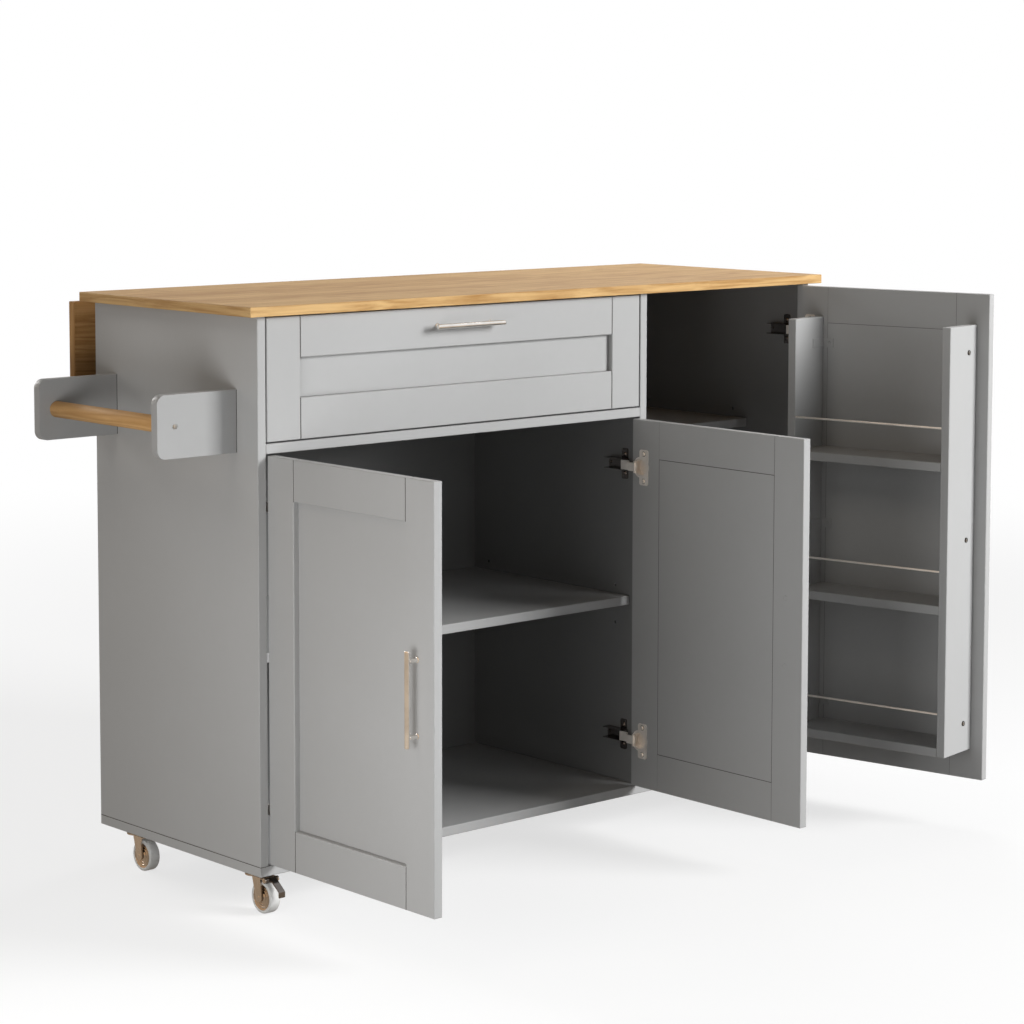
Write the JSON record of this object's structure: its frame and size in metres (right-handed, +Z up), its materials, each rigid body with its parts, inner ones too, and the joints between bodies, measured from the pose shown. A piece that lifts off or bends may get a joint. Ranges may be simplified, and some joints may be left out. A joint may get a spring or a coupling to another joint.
{
  "type": "drop leaf kitchen island",
  "caption": "Kitchen island on casters: cabinet with hinged shaker doors, drawer, drop leaf behind the worktop, spice rack inside the tall door and towel rail.",
  "frame": {"origin": "on the floor, under the middle of the cabinet body's footprint, leaf and open doors not counted", "axes": "+X along the front to the right as seen from the front, +Y from the doors to the drop leaf, +Z up"},
  "size_m": [1.4014, 0.85, 0.917],
  "materials": {
    "grey_paint": "board with satin mid-grey paint",
    "oak": "honey-coloured oak, satin lacquer, grain lengthwise",
    "nickel": "bright nickel plating",
    "steel": "zinc or nickel plated steel",
    "caster_metal": "bright plated pressed steel",
    "wheel_rubber": "pale grey rubber tyre on a plated hub disc"
  },
  "bodies": {
    "cabinet": {"worktop": "oak", "base_board": "grey_paint", "left_side_panel": "grey_paint", "right_side_panel": "grey_paint", "partition": "grey_paint", "drawer_rail": "grey_paint", "back_panels": "grey_paint", "left_shelf": "grey_paint", "right_shelf": "grey_paint", "shelf_pins": "steel", "carcass_screws": "steel", "drawer_slide_outers": "steel", "hinge_arms": "steel", "hinge_plates": "steel", "towel_brackets": "grey_paint", "towel_dowel": "oak", "towel_rail_screws": "steel", "stay_wall_arms": "steel", "stay_pins": "steel", "caster_plates": "caster_metal"},
    "leaf": {"leaf_board": "oak", "stay_leaf_arms": "steel"},
    "lock_levers": {"stay_lock_levers": "steel"},
    "drawer": {"drawer_front_frame": "grey_paint", "drawer_front_panel": "grey_paint", "drawer_box_walls": "grey_paint", "drawer_bottom": "grey_paint", "drawer_front_screws": "steel", "drawer_slide_inners": "steel", "drawer_handle": "nickel"},
    "slide_middles": {"drawer_slide_middles": "steel"},
    "left_door": {"left_door_frame": "grey_paint", "left_door_panel": "grey_paint", "left_door_handle": "nickel", "left_hinge_cups": "steel"},
    "left_links": {"left_hinge_links": "steel"},
    "middle_door": {"middle_door_frame": "grey_paint", "middle_door_panel": "grey_paint", "middle_door_handle": "nickel", "middle_hinge_cups": "steel"},
    "middle_links": {"middle_hinge_links": "steel"},
    "right_door": {"right_door_frame": "grey_paint", "right_door_panel": "grey_paint", "right_door_handle": "nickel", "right_hinge_cups": "steel", "rack_sides": "grey_paint", "rack_shelves": "grey_paint", "rack_rods": "steel", "rack_fixings": "steel"},
    "right_links": {"right_hinge_links": "steel"},
    "front_left_swivel": {"front_left_fork": "caster_metal"},
    "front_left_wheel_turning": {"front_left_wheel": "wheel_rubber"},
    "front_right_swivel": {"front_right_fork": "caster_metal"},
    "front_right_wheel_turning": {"front_right_wheel": "wheel_rubber"},
    "rear_left_swivel": {"rear_left_fork": "caster_metal"},
    "rear_left_wheel_turning": {"rear_left_wheel": "wheel_rubber"},
    "rear_right_swivel": {"rear_right_fork": "caster_metal"},
    "rear_right_wheel_turning": {"rear_right_wheel": "wheel_rubber"},
    "front_left_pedal": {"front_left_brake": "caster_metal"},
    "front_right_pedal": {"front_right_brake": "caster_metal"}
  },
  "joints": [
    {"name": "leaf_hinge", "type": "hinge", "parent": "cabinet", "child": "leaf", "pos_m": [0, 0.23365, 0.895], "axis": [1, 0, 0], "range_deg": [0, 90]},
    {"name": "lock_lever_pivot", "type": "hinge", "parent": "cabinet", "child": "lock_levers", "pos_m": [0, 0.2215, 0.871], "axis": [1, 0, 0], "range_deg": [0, 15], "stiffness_Nm_per_rad": 0.05},
    {"name": "drawer_slide", "type": "slide", "parent": "cabinet", "child": "drawer", "axis": [0, -1, 0], "range_m": [0, 0.3]},
    {"name": "slide_middle_run", "type": "slide", "parent": "cabinet", "child": "slide_middles", "axis": [0, -1, 0], "range_m": [0, 0.15]},
    {"name": "left_door_hinge", "type": "hinge", "parent": "cabinet", "child": "left_door", "pos_m": [-0.578, -0.2135, 0], "axis": [0, 0, -1], "range_deg": [-90, 15]},
    {"name": "left_link_pivot", "type": "hinge", "parent": "left_door", "child": "left_links", "pos_m": [-0.557, -0.226, 0], "axis": [0, 0, -1], "range_deg": [-15, 90]},
    {"name": "middle_door_hinge", "type": "hinge", "parent": "cabinet", "child": "middle_door", "pos_m": [0.186, -0.2135, 0], "axis": [0, 0, 1], "range_deg": [-90, 15]},
    {"name": "middle_link_pivot", "type": "hinge", "parent": "middle_door", "child": "middle_links", "pos_m": [0.165, -0.226, 0], "axis": [0, 0, 1], "range_deg": [-15, 90]},
    {"name": "right_door_hinge", "type": "hinge", "parent": "cabinet", "child": "right_door", "pos_m": [0.578, -0.2135, 0], "axis": [0, 0, 1], "range_deg": [-101, 4]},
    {"name": "right_link_pivot", "type": "hinge", "parent": "right_door", "child": "right_links", "pos_m": [0.55977, -0.22978, 0], "axis": [0, 0, 1], "range_deg": [-4, 101]},
    {"name": "front_left_swivel_turn", "type": "hinge", "parent": "cabinet", "child": "front_left_swivel", "pos_m": [-0.565, -0.158, 0.0535], "axis": [0, 0, 1], "continuous": true},
    {"name": "front_left_wheel_roll", "type": "hinge", "parent": "front_left_swivel", "child": "front_left_wheel_turning", "pos_m": [-0.565, -0.186, 0.025], "axis": [1, 0, 0], "continuous": true},
    {"name": "front_left_brake_pivot", "type": "hinge", "parent": "front_left_swivel", "child": "front_left_pedal", "pos_m": [-0.565, -0.198, 0.053], "axis": [-1, 0, 0], "range_deg": [0, 20]},
    {"name": "front_right_swivel_turn", "type": "hinge", "parent": "cabinet", "child": "front_right_swivel", "pos_m": [0.565, -0.158, 0.0535], "axis": [0, 0, 1], "continuous": true},
    {"name": "front_right_wheel_roll", "type": "hinge", "parent": "front_right_swivel", "child": "front_right_wheel_turning", "pos_m": [0.565, -0.186, 0.025], "axis": [1, 0, 0], "continuous": true},
    {"name": "front_right_brake_pivot", "type": "hinge", "parent": "front_right_swivel", "child": "front_right_pedal", "pos_m": [0.565, -0.198, 0.053], "axis": [-1, 0, 0], "range_deg": [0, 20]},
    {"name": "rear_left_swivel_turn", "type": "hinge", "parent": "cabinet", "child": "rear_left_swivel", "pos_m": [-0.565, 0.158, 0.0535], "axis": [0, 0, 1], "continuous": true},
    {"name": "rear_left_wheel_roll", "type": "hinge", "parent": "rear_left_swivel", "child": "rear_left_wheel_turning", "pos_m": [-0.565, 0.13, 0.025], "axis": [1, 0, 0], "continuous": true},
    {"name": "rear_right_swivel_turn", "type": "hinge", "parent": "cabinet", "child": "rear_right_swivel", "pos_m": [0.565, 0.158, 0.0535], "axis": [0, 0, 1], "continuous": true},
    {"name": "rear_right_wheel_roll", "type": "hinge", "parent": "rear_right_swivel", "child": "rear_right_wheel_turning", "pos_m": [0.565, 0.13, 0.025], "axis": [1, 0, 0], "continuous": true}
  ],
  "couplings": [
    {"joint": "slide_middle_run", "follows": "drawer_slide", "ratio": 0.5},
    {"joint": "left_link_pivot", "follows": "left_door_hinge", "ratio": -1},
    {"joint": "middle_link_pivot", "follows": "middle_door_hinge", "ratio": -1},
    {"joint": "right_link_pivot", "follows": "right_door_hinge", "ratio": -1}
  ]
}
